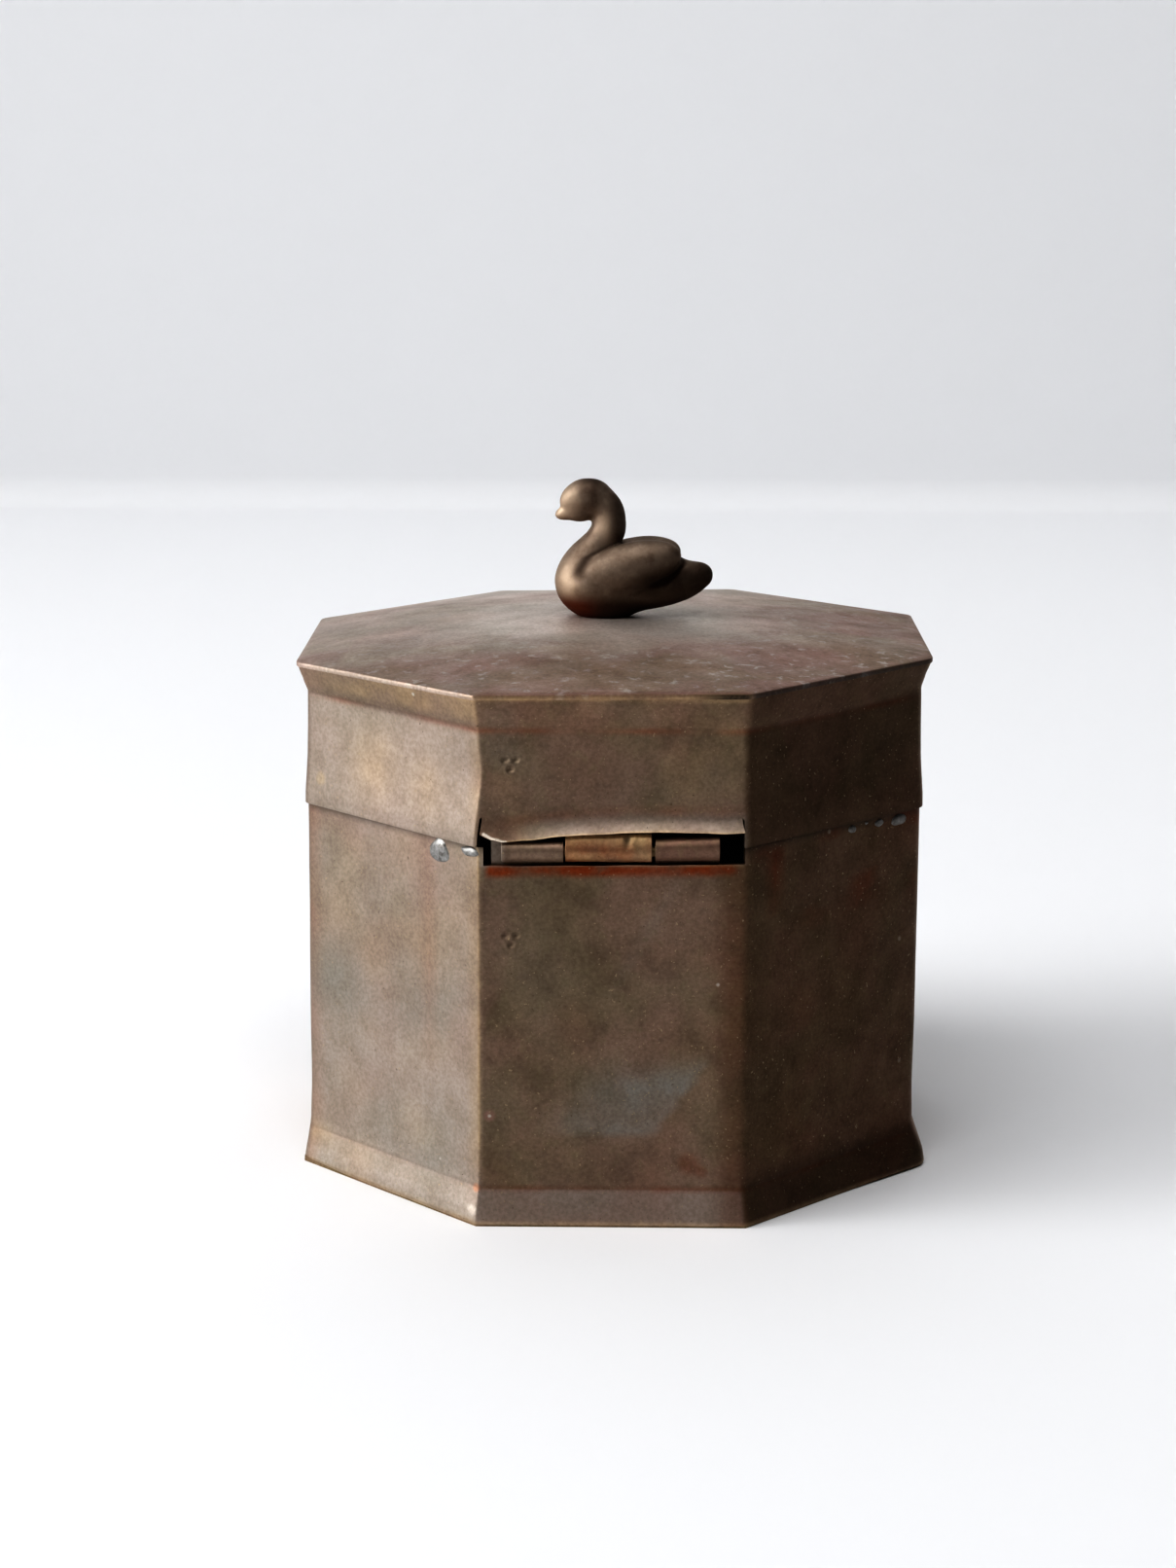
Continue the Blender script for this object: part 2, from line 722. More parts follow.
def build_body_leaf():
    """Two knuckles rolled from the top of the plate, over the pin and down, and a plain tab at the left."""
    inner_y = PIN_Y + KNUCKLE_RADIUS - LEAF / 2 - 0.02
    low = BODY_LEAF_LOW.z
    stem = [(inner_y, low), (inner_y, 48.0), (inner_y, 52.0)]
    web = [(inner_y, low), (inner_y, 48.0), (inner_y, 52.5)]
    tab = [(inner_y, low), (inner_y, 50.0), (inner_y - 0.1, BODY_LEAF_HIGH.z - 0.1)]
    turned = math.radians(318)
    fuller = roll(0, turned, swell=0.08, lift=0.32)
    leaf = join_pieces("body_hinge_knuckles", [
        strip_solid("left_knuckle", stem + roll(0, turned), *KNUCKLE_LEFT, 14, 1.1),
        strip_solid("right_knuckle", stem + fuller, *KNUCKLE_RIGHT, 14, 2.3, rise=0.45),
        strip_solid("leaf_web", web, KNUCKLE_LEFT[1], KNUCKLE_RIGHT[0], 3, 3.1),
        strip_solid("leaf_tab", tab, BODY_LEAF_LOW.x, KNUCKLE_LEFT[0], 3, 4.2),
    ])
    soften_edges(leaf, LEAF_WEAR)
    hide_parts("body_hinge_leaf")
    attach(leaf, "box")
    return leaf


def build_lid_leaf():
    """The middle knuckle: the lid's leaf slants out from behind the lip, then rolls under the pin."""
    plate_y = LEAF / 2 - 44.1
    top = LID_LEAF_HIGH.z
    plate = [(plate_y, top), (plate_y, 60.5), (plate_y - 0.08, 58.6)]
    lean = [(plate_y - 0.35, 58.05), (plate_y - 0.95, 57.65), (plate_y - 1.5, 57.15), (plate_y - 1.95, 56.5)]
    round_pin = roll(math.radians(160), math.radians(395), swell=0.1, lift=0.15)
    wing = [(plate_y, top), (plate_y, 60.5), (plate_y, 57.2)]
    leaf = join_pieces("lid_hinge_knuckle", [
        strip_solid("middle_knuckle", plate + lean + round_pin, *KNUCKLE_MIDDLE, 60, 5.7),
        strip_solid("leaf_left", wing, LID_LEAF_LOW.x, KNUCKLE_MIDDLE[0], 3, 6.6),
        strip_solid("leaf_right", wing, KNUCKLE_MIDDLE[1], LID_LEAF_HIGH.x, 3, 7.7),
    ])
    soften_edges(leaf, LEAF_WEAR)
    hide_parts("lid_hinge_leaf")
    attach(leaf, "lid")
    return leaf


# -------- solder drops

# Name, face, place along it, height, half width, half height, proud.
DROPS = [
    ("tear_drop", LEFT, 10.7, 53.4, 2.0, 1.75, 0.45),
    ("corner_drop", LEFT, 17.0, 54.3, 1.75, 0.75, 0.5),
    ("right_drop_1", RIGHT, 3.5, 54.3, 0.85, 0.6, 0.3),
    ("right_drop_2", RIGHT, 6.6, 54.7, 0.4, 0.25, 0.15),
    ("right_drop_3", RIGHT, 9.4, 54.25, 0.95, 0.6, 0.28),
    ("right_drop_4", RIGHT, 13.8, 54.0, 1.6, 0.85, 0.3),
]
DROP_APOTHEM = 44.95
DROP_DEPTH_INSIDE = 0.3


def drop_piece(number, name, face, along, height, half_width, half_height, proud):
    """One frozen drop: a lumpy ball, flatter inside the wall; the tear drop narrows upwards."""
    centre = on_sheet(face, along, height, DROP_APOTHEM)

    def place(shape):
        lumps = 1 + 0.16 * noise.noise(shape * 1.3 + Vector((number * 3.1, 0, 0)))
        taper = 1 - 0.25 * shape.z if name == "tear_drop" else 1
        depth = shape.y * (proud if shape.y > 0 else DROP_DEPTH_INSIDE)
        across = sideways(face) * shape.x * half_width * taper
        return centre + (across + Vector((0, 0, shape.z * half_height)) + outward(face) * depth) * lumps

    return ball_piece(name, 4, place)


def build_solder_drops():
    made = [drop_piece(number, *drop) for number, drop in enumerate(DROPS)]
    drops = join_pieces("solder_drops_frozen", made)
    shade_smooth(drops.data)
    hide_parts("solder_drops")
    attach(drops, "box")
    return drops


# -------- swan

class Egg:
    """An ellipsoid with its own tilt in the swan's upright plane."""

    def __init__(self, centre, radii, pitch=0, yaw=0, roll_turn=0):
        self.centre = Vector(centre)
        self.radii = Vector(radii)
        self.turn = Matrix.Identity(3)
        for angle, axis in ((yaw, "Z"), (-pitch, "Y"), (roll_turn, "X")):
            self.turn = self.turn @ Matrix.Rotation(math.radians(angle), 3, axis)
        self.back = self.turn.transposed()

    def shrunk(self, vector):
        return Vector([length / radius for length, radius in zip(vector, self.radii)])

    def local(self, point):
        """A point as seen from the egg's middle, along the egg's own axes and in its own radii."""
        return self.shrunk(self.back @ (point - self.centre))

    def distance(self, point):
        near = self.local(point)
        length = near.length
        return length * (length - 1) / max(self.shrunk(near).length, 1e-9)

    def skin(self, unit):
        """The point of the surface that a point of a unit ball becomes."""
        stretched = Vector([length * radius for length, radius in zip(unit, self.radii)])
        return self.turn @ stretched + self.centre


class Limb:
    """A round bar whose radius changes along a chain of (centre, radius) balls."""

    def __init__(self, balls):
        self.balls = [(Vector(centre), radius) for centre, radius in balls]

    def distance(self, point):
        best = 1e9
        for (first, first_radius), (second, second_radius) in zip(self.balls, self.balls[1:]):
            run = second - first
            share = min(1, max(0, (point - first).dot(run) / run.length_squared))
            best = min(best, (point - first - run * share).length - lerp(first_radius, second_radius, share))
        return best


def soft_min(first, second, blend):
    """The nearer of two distances, with a fillet of about that blend between them."""
    mix = max(blend - abs(first - second), 0) / blend
    return min(first, second) - mix * mix * blend / 4


def curve_balls(places, radii, steps):
    """Balls along a smooth line through a few places."""
    balls = []
    last = len(places) - 1
    for number in range(last):
        around = (max(number - 1, 0), number, number + 1, min(number + 2, last))
        p0, p1, p2, p3 = (Vector(places[index]) for index in around)
        for step in range(steps):
            t = step / steps
            place = 0.5 * (2 * p1 + (p2 - p0) * t + (2 * p0 - 5 * p1 + 4 * p2 - p3) * t ** 2
                           + (3 * p1 - p0 - 3 * p2 + p3) * t ** 3)
            balls.append((place, lerp(radii[number], radii[number + 1], t)))
    balls.append((Vector(places[-1]), radii[-1]))
    return balls


BREAST = Egg((-3.4, 0, 85.2), (5.4, 4.4, 5.3))
BELLY = Egg((2.6, 0, 85.6), (7.4, 3.8, 4.8), 20)
KEEL = Egg((-1.3, 0, 83.7), (4.9, 3.7, 4.2))
TAIL = Egg((9.5, 0, 85.2), (5.4, 2.7, 2.8), 21)
TAIL_TOP = Egg((10.9, 0, 86.85), (3.5, 1.7, 1.35), -20)
WINGS = [Egg((2.0, 2.5 * side, 87.9), (8.1, 3.0, 3.65), 15, -3 * side, 14 * side) for side in (-1, 1)]
NECK_PLACES = [(-4.9, 0, 85.8), (-4.35, 0, 88.6), (-2.15, 0, 91.3), (-1.05, 0, 93.4), (-1.2, 0, 96.1),
               (-2.9, 0, 98.1)]
NECK_RADII = [3.3, 2.8, 2.6, 2.6, 2.42, 2.45]
NECK = Limb(curve_balls(NECK_PLACES, NECK_RADII, 6))
HEAD = Egg((-4.65, 0, 98.15), (3.2, 2.35, 2.7), 12)
FACE = Egg((-6.4, 0, 97.2), (1.85, 1.5, 2.0), 12)
BEAK = Egg((-7.35, 0, 95.75), (1.7, 1.1, 1.05), 14)
CHIN = Egg((-5.3, 0, 95.7), (2.2, 1.5, 1.25))
EGGS = [BREAST, BELLY, KEEL, TAIL, TAIL_TOP, HEAD, FACE, BEAK, CHIN] + WINGS


def nearest(shapes, point):
    return min(shape.distance(point) for shape in shapes)


def blended(point, first, *others):
    """The distance to a form with others blended on, each with its own fillet."""
    distance = first.distance(point)
    for form, fillet in others:
        distance = soft_min(distance, form.distance(point), fillet)
    return distance


def swan_distance(point):
    """How far outside the swan a point lies. The wings' fillet to the breast grows towards the bottom."""
    under = soft_min(BELLY.distance(point), blended(point, TAIL, (TAIL_TOP, 0.8)), 2.4)
    rear = soft_min(under, blended(point, WINGS[0], (WINGS[1], 2.2)), 0.8)
    front = blended(point, BREAST, (NECK, 2.2))
    body = soft_min(front, rear, lerp(0.35, 2.6, smooth(87.6, 84.0, point.z)))
    body = soft_min(body, KEEL.distance(point), 1.6)
    return soft_min(body, blended(point, HEAD, (FACE, 1.0), (CHIN, 1.0), (BEAK, 0.5)), 0.9)


def rough_swan():
    """The swan's forms as balls, joined and covered with one fine voxel skin."""
    parts = [ball_piece(f"swan_part_{number}", 4, egg.skin) for number, egg in enumerate(EGGS)]
    for number, (centre, radius) in enumerate(NECK.balls):
        parts.append(ball_piece(f"swan_ball_{number}", 3, lambda unit: unit * radius + centre))
    swan = join_pieces("swan_casting", parts)
    remesh = swan.modifiers.new("skin", "REMESH")
    remesh.mode = "VOXEL"
    remesh.voxel_size = 0.3 * MM
    graph = bpy.context.evaluated_depsgraph_get()
    skin = bpy.data.meshes.new_from_object(swan.evaluated_get(graph))
    swan.modifiers.clear()
    lumps = swan.data
    swan.data = skin
    bpy.data.meshes.remove(lumps)
    return swan


def draw_onto_swan(point):
    """The point moved most of the way onto the blended surface."""
    probe = 0.05
    here = swan_distance(point)
    steps = (Vector((probe, 0, 0)), Vector((0, probe, 0)), Vector((0, 0, probe)))
    slope = Vector([swan_distance(point + step) - here for step in steps])
    return point - slope.normalized() * here * 0.9


def build_swan():
    """Sculpted from blended round forms: a rough skin, then every point drawn onto the true surface."""
    passes = 3
    roughness = 0.03
    swan = rough_swan()
    work = bmesh.new()
    work.from_mesh(swan.data)
    for _ in range(passes):
        bmesh.ops.smooth_vert(work, verts=work.verts, factor=0.5,
                              use_axis_x=True, use_axis_y=True, use_axis_z=True)
    for _ in range(passes):
        for vertex in work.verts:
            vertex.co = draw_onto_swan(vertex.co / MM) * MM
    for vertex in work.verts:
        vertex.normal_update()
        point = vertex.co / MM
        point += vertex.normal * roughness * ripple(point, 1.8, 9.3)
        point.z = max(point.z, SEAT_HEIGHT)
        vertex.co = point * MM
    work.to_mesh(swan.data)
    work.free()
    shade_smooth(swan.data)
    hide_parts("swan_finial")
    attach(swan, "lid")
    return swan


# -------- painted wear and tarnish
# Each rule gives a strength from 0 to 1 (clamped later) at a point: pale or deep metal, gold where it is
# worn bright, red or dark tarnish, grey bloom and specks of salt.

def turn_from(at, turn):
    """The angle round the box between a point and a direction; turn 0 is the middle of the hinge face."""
    turn = math.atan2(at.x, -at.y) - turn
    return abs((turn + math.pi) % math.tau - math.pi)


def on_face(at, face):
    """1 on a face of the box and 0 off it, fading across the corners."""
    return 1 - smooth(HALF_TURN - 0.02, HALF_TURN + 0.02, turn_from(at, face * FACE_TURN))


def corner_nearness(at, corner, width):
    """1 at a corner of the box, 0 one width away round the box."""
    turn = turn_from(at, (corner + 0.5) * FACE_TURN)
    return 1 - smooth(0, width, turn * math.hypot(at.x, at.y))


def along_face(at, face):
    return at.dot(sideways(face))


def lip_drop(at):
    """How far a point of the lid lies above the lip's lower edge."""
    return at.z - along_curve(LIP_EDGE, at.x)


def wall_pale(at):
    left = on_face(at, LEFT)
    front = on_face(at, 0)
    low = smooth(40, 15, at.z)
    cloud = 0.5 + 0.5 * ripple(at, 11, 2.0)
    left_foot = 0.3 * smooth(3.4, 1.8, at.z) - 0.12 * smooth(1.8, 3.4, at.z)
    other_foot = lerp(0.25, 1.25, front) * (1 - left) * (1 - on_face(at, RIGHT))
    foot = smooth(FOOT_CREASE + 0.1, FOOT_CREASE - 0.5, at.z) * (left_foot * left + other_foot)
    slot_height = at.z - SLOT_SLANT * at.x / SLOT_RIGHT
    slot_edge = smooth(SLOT_BOTTOM - 0.3, SLOT_BOTTOM - 0.05, slot_height) * front * 0.7
    return left * (0.72 + 0.26 * low) + (1 - left) * (0.08 + 0.22 * cloud) + foot + slot_edge


def wall_deep(at):
    right = on_face(at, RIGHT)
    strip = smooth(12.5, 17.5, at.x) * on_face(at, 0)
    foot = right * smooth(FOOT_CREASE + 2.0, FOOT_CREASE - 0.5, at.z) * smooth(0.5, 1.5, at.z) * 0.35
    shade = 0.88 * right * smooth(WALL_BOTTOM - 0.3, 1.0, at.z)
    return shade + foot + 0.55 * strip + 0.12 * max(0, ripple(at, 16, 5.0))


def wall_gold(at):
    left = on_face(at, LEFT)
    along = along_face(at, LEFT)
    seam = corner_nearness(at, SEAM, 0.5) * 0.5 * smooth(6, 12, at.z)
    foot_edge = smooth(1.2, WALL_BOTTOM, at.z) * 0.5
    patch = smooth(-0.3, 0.7, ripple(at, 9, 7.0)) * 0.16 * left
    warm = left * 0.3 * bell((along + 16.7) / 2.5, (at.z - 5.0) / 1.6)
    in_slot = on_face(at, 0) * (abs(at.x) < SLOT_RIGHT)
    slot_lip = smooth(SLOT_BOTTOM - 0.3, SLOT_BOTTOM, at.z) * in_slot * 0.3
    return seam + foot_edge + patch + warm + slot_lip


def wall_red(at):
    front = on_face(at, 0)
    left = on_face(at, LEFT)
    along = along_face(at, LEFT)
    edge = SLOT_BOTTOM + SLOT_SLANT * at.x / SLOT_RIGHT
    stain = bump(edge - 0.7, 1.45, at.z) * (1.05 + 0.5 * ripple(at, 4, 3.0)) * (abs(at.x) < 17.4)
    crease = bump(FOOT_CREASE, 0.8, at.z) * (0.12 + 0.22 * smooth(-0.2, 0.5, ripple(at, 6, 1.9)))
    crease *= 1 - 0.6 * left
    foot = smooth(FOOT_CREASE, FOOT_CREASE - 0.5, at.z) * 0.09
    right_spots = smooth(0.1, 0.5, ripple(at, 5, 6.0)) * 0.5 * smooth(38, 50, at.z)
    right_strip = smooth(13.5, 18, at.x) * 0.16
    run_down = bump(7.2 + 0.02 * (50 - at.z), 2.4, along) * smooth(14, 40, at.z) * 0.24
    left_edge = smooth(-15.5, -18.5, along) * 0.22
    blotches = 0.10 * smooth(0.1, 0.6, ripple(at, 11, 9.0))
    return ((stain + foot + right_strip) * front + (run_down + left_edge) * left
            + right_spots * on_face(at, RIGHT) + crease + blotches)


def wall_bloom(at):
    """A grey smear with one straight, slanting edge on the hinge face, and a haze on the face beside it."""
    slant = at.x - (6.0 + 0.71 * (at.z - 13.5))
    smear = smooth(0.5, -0.4, slant) * smooth(-19, -6, slant)
    smear *= smooth(12.5, 14.5, at.z) * smooth(26, 21, at.z)
    streak = bump(0, 3.2, at.z - 37.2 - 1.67 * (at.x - 1.5)) * bump(5, 8, at.x) * 0.3
    haze = smooth(-0.3, 0.5, ripple(at, 14, 4.0)) * smooth(50, 24, at.z) * 0.75
    uneven = 0.8 + 0.5 * ripple(at, 4, 2.5)
    return on_face(at, 0) * (smear + streak) * uneven + on_face(at, LEFT) * haze


def wall_dark(at):
    under_lid = smooth(WALL_TOP - 1.1, WALL_TOP, at.z) * 0.55
    crease = bump(FOOT_CREASE + 0.35, 0.5, at.z) * 0.12
    foot = on_face(at, RIGHT) * smooth(FOOT_CREASE + 3, FOOT_CREASE, at.z) * 0.3
    return under_lid + crease + foot


def lid_pale(at):
    left = on_face(at, LEFT)
    cloud = 0.5 + 0.5 * ripple(at, 9, 2.8)
    lip = on_face(at, 0) * smooth(3.2, 1.5, lip_drop(at)) * (0.17 + 0.31 * smooth(-16, -9, at.x))
    flare = smooth(SKIRT_CREASE, SKIRT_CREASE + 0.4, at.z)
    return left * (0.86 - 0.36 * flare) + (1 - left) * (0.1 + 0.15 * cloud) + lip


def lid_deep(at):
    flare = smooth(SKIRT_CREASE - 0.2, SKIRT_CREASE + 0.6, at.z)
    return on_face(at, RIGHT) * (1.0 - 0.2 * flare) + 0.1 * max(0, ripple(at, 14, 6.0))


def lid_gold(at):
    left = on_face(at, LEFT)
    front = on_face(at, 0)
    along = along_face(at, LEFT)
    seam = corner_nearness(at, SEAM, 0.55) * 0.15
    patches = 0.34 * bell((along + 3.5) / 4.5, (at.z - 63.5) / 5)
    patches += 0.25 * bell((along - 8) / 3, (at.z - 62) / 4)
    flare = smooth(SKIRT_CREASE + 0.5, 74, at.z) * (0.12 + 0.3 * smooth(-0.1, 0.4, ripple(at, 6, 3.4)))
    spots = smooth(0.1, 0.5, ripple(at, 7, 9.2)) * 0.12
    rim = smooth(SKIRT_TOP - 0.45, SKIRT_TOP - 0.1, at.z) * 0.4 * (1 - on_face(at, RIGHT))
    edge = smooth(0.35, 0.05, lip_drop(at)) * smooth(46.0, 46.4, -at.y) * 0.55
    return seam + left * (patches + flare) + front * (spots + edge) + rim


def lid_red(at):
    drop = lip_drop(at)
    crease = bump(SKIRT_CREASE, 0.8, at.z) * (0.12 + 0.3 * smooth(-0.3, 0.4, ripple(at, 7, 2.9)))
    flare = smooth(SKIRT_CREASE, SKIRT_CREASE + 1, at.z) * 0.08
    above_lip = bump(2.7, 1.3, drop) * (0.16 + 0.16 * ripple(at, 3, 7.7))
    lip_end = smooth(-11, -14, at.x) * smooth(3, 1.5, drop) * 0.22
    return crease + flare + on_face(at, 0) * (above_lip + lip_end)


def lid_bloom(at):
    return 0.2 * smooth(0.1, 0.6, ripple(at, 8, 4.9)) * on_face(at, 0) * smooth(60, 62, at.z)


def lid_dark(at):
    drop = lip_drop(at)
    crease = bump(SKIRT_CREASE + 0.25, 0.4, at.z) * 0.12
    lip_end = smooth(-12, -16, at.x) * smooth(3.2, 1.5, drop) * smooth(0.2, 0.6, drop) * 0.15
    lower_edge = smooth(SKIRT_BOTTOM + 0.5, SKIRT_BOTTOM, at.z) * 0.15
    return crease + lip_end * on_face(at, 0) + lower_edge + 0.17 * on_face(at, RIGHT)


def top_reach(at):
    """How far out a point of the lid's top lies: 0 in the middle, 1 at a flat edge."""
    return max(at.dot(outward(face)) for face in range(SIDES)) / RIM_APOTHEM


def top_edge(at):
    """1 on the plate's upright edge, 0 on its top."""
    level = at.z - rim_tilt(at)
    return smooth(PLATE_EDGE_TOP + 0.05, PLATE_EDGE_TOP - 0.3, level) * (top_reach(at) > 0.98)


def top_pale(at):
    """Dusty and pale round the knob and at the back, darker towards the hinge side and the right."""
    glow = smooth(30, 10, math.hypot(at.x + 3, at.y + 3)) * 0.42
    glow += smooth(13, 5, math.hypot(at.x - 5, at.y + 4)) * 0.3
    back = smooth(4, 40, at.y) * (0.22 - 0.3 * smooth(5, 35, at.x))
    front = 0.26 * smooth(-11, -20, at.y) + 0.26 * smooth(-16, -38, at.y)
    front *= (1 - 0.3 * smooth(-6, -40, at.x)) * (1 + 0.5 * ripple(at, 6, 9.4))
    right = smooth(8, 42, at.x) * 0.4
    cloud = 0.13 * ripple(at, 12, 3.7) + 0.13 * ripple(at, 4, 1.7)
    top = 0.54 + glow + back - front - right + cloud
    sides = on_face(at, LEFT) * 0.75 + on_face(at, 0) * 0.15
    return lerp(top, sides, top_edge(at))


def top_gold(at):
    front = on_face(at, 0) * (0.7 + 0.3 * ripple(at, 1.8, 5.1))
    return top_edge(at) * (on_face(at, LEFT) * 0.12 + front)


def top_red(at):
    rim = smooth(0.965, 0.99, top_reach(at)) * on_face(at, 0) * 0.25
    left_rim = top_edge(at) * on_face(at, LEFT) * 0.14
    return rim + left_rim + smooth(0.2, 0.5, ripple(at, 7, 8.8)) * 0.04


def top_bloom(at):
    return 0.25 * smooth(0.0, 0.5, ripple(at, 10, 5.7)) * (1 - top_edge(at))


def top_salt(at):
    return smooth(-12, -24, at.y) * (0.6 + 0.6 * ripple(at, 9, 6.6)) + 0.35 * smooth(12, 26, at.x)


def top_dark(at):
    right = max(on_face(at, RIGHT), on_face(at, 0) * smooth(10, 17, at.x))
    front_edge = smooth(0.962, 0.985, top_reach(at)) * on_face(at, 0) * 0.18
    return right * top_edge(at) * 0.85 + front_edge


def hinge_pale(at):
    tab = smooth(KNUCKLE_LEFT[0] + 0.05, KNUCKLE_LEFT[0] - 0.15, at.x)
    left = smooth(-6.6, -6.8, at.x) * 0.25
    left_end = bump(KNUCKLE_LEFT[0], 0.3, at.x) * 0.8
    return tab + left + left_end


def on_middle_knuckle(at):
    return KNUCKLE_MIDDLE[0] < at.x < KNUCKLE_MIDDLE[1]


def hinge_gold(at):
    under_lip = smooth(PIN_Z + 1.2, PIN_Z + 1.9, at.z) * 0.45
    worn = 0.24 + 0.40 * smooth(-0.1, 0.5, ripple(at, 3.2, 2.4)) + under_lip
    return on_middle_knuckle(at) * worn + 0.06


def hinge_red(at):
    left_part = 0.55 * smooth(2.5, -3.5, at.x)
    stain = 0.2 + left_part + 0.34 * smooth(-0.2, 0.4, ripple(at, 2.4, 6.4))
    return on_middle_knuckle(at) * stain + 0.03


def hinge_dark(at):
    nick = bell((at.x - NICK_X) / 0.45, (at.z - NICK_Z) / 0.7)
    return 0.8 * nick + 0.14 * (at.x > KNUCKLE_MIDDLE[1] + 0.05)


def swan_gold(at):
    """Worn bright: the breast, the front of the neck, the forehead, the beak's tip and the tail's root."""
    breast = 0.60 * bell((at.x + 7.2) / 1.9, (at.z - 85.6) / 2.6)
    neck = 0.55 * bell((at.x + 1.5) / 1.0, (at.z - 94.0) / 2.0)
    brow = 0.5 * smooth(-4.6, -6.2, at.x) * bump(97.8, 3.2, at.z)
    beak = 0.7 * bell((at.x + 8.3) / 1.2, (at.z - 95.7) / 1.1)
    tail_root = 0.3 * bell((at.x - 7.2) / 1.9, (at.z - 83.4) / 1.3)
    return breast + neck + brow + beak + tail_root


def swan_crevice(at):
    """Dark where a wing meets the body or the tail leaves it."""
    wings = nearest(WINGS, at)
    groove = bump(0, 0.75, min(wings, BELLY.distance(at)) - nearest([BREAST, NECK], at))
    fold = bump(0, 0.8, wings - nearest([BELLY, TAIL, TAIL_TOP], at))
    return max(groove * smooth(85.5, 87.5, at.z), fold * smooth(4, 7, at.x) * 0.7)


def wing_underside(at):
    """1 on the lower side of the nearer wing, fading out towards its front."""
    local = min(WINGS, key=lambda egg: egg.distance(at)).local(at)
    return smooth(-0.15, -0.8, local.z) * smooth(-0.4, 0.35, local.x)


def belly_shade(at):
    """1 on the body close under a wing, 0 on the wings."""
    gap = nearest(WINGS, at) - nearest([BELLY, TAIL], at)
    return smooth(-0.3, 0.2, gap) * smooth(1.7, 0.4, gap) * smooth(0, 4, at.x)


def swan_dark(at):
    under = smooth(85.0, 81.8, at.z) * smooth(8.5, 5.5, at.x) * lerp(0.4, 0.85, smooth(-6, -1, at.x))
    under_wing = max(wing_underside(at) * 0.75, belly_shade(at) * 0.7)
    tail = smooth(8.8, 10.5, at.x) * smooth(89.6, 88.6, at.z) * 0.36
    slope = smooth(-3, 5, at.x - 1.5 * (at.z - 86.2)) * smooth(88.5, 86, at.z) * 0.26
    nape = smooth(-1.2, 0.7, at.x) * smooth(91, 92.5, at.z) * 0.55
    cheek = bump(-3.4, 2.2, at.x) * smooth(95, 96, at.z) * (0.36 + 0.3 * ripple(at, 1.6, 4.4))
    crown = smooth(98.6, 100, at.z) * smooth(-6.2, -4.6, at.x) * 0.35
    return 0.75 * swan_crevice(at) + max(under, tail, slope, under_wing) + nape + cheek + crown


def swan_red(at):
    return smooth(84.4, 82.0, at.z) * 0.8 * smooth(0.5, -5, at.x) + smooth(83.5, 81.5, at.z) * 0.3


PAINT_RULES = {
    "wall": {"pale": wall_pale, "deep": wall_deep, "gold": wall_gold, "red": wall_red, "bloom": wall_bloom,
             "dark": wall_dark},
    "lid": {"pale": lid_pale, "deep": lid_deep, "gold": lid_gold, "red": lid_red, "bloom": lid_bloom,
            "dark": lid_dark},
    "top": {"pale": top_pale, "gold": top_gold, "red": top_red, "bloom": top_bloom, "salt": top_salt,
            "dark": top_dark},
    "hinge": {"pale": hinge_pale, "gold": hinge_gold, "red": hinge_red, "dark": hinge_dark},
    "swan": {"gold": swan_gold, "red": swan_red, "dark": swan_dark},
    "solder": {},
}


# -------- materials

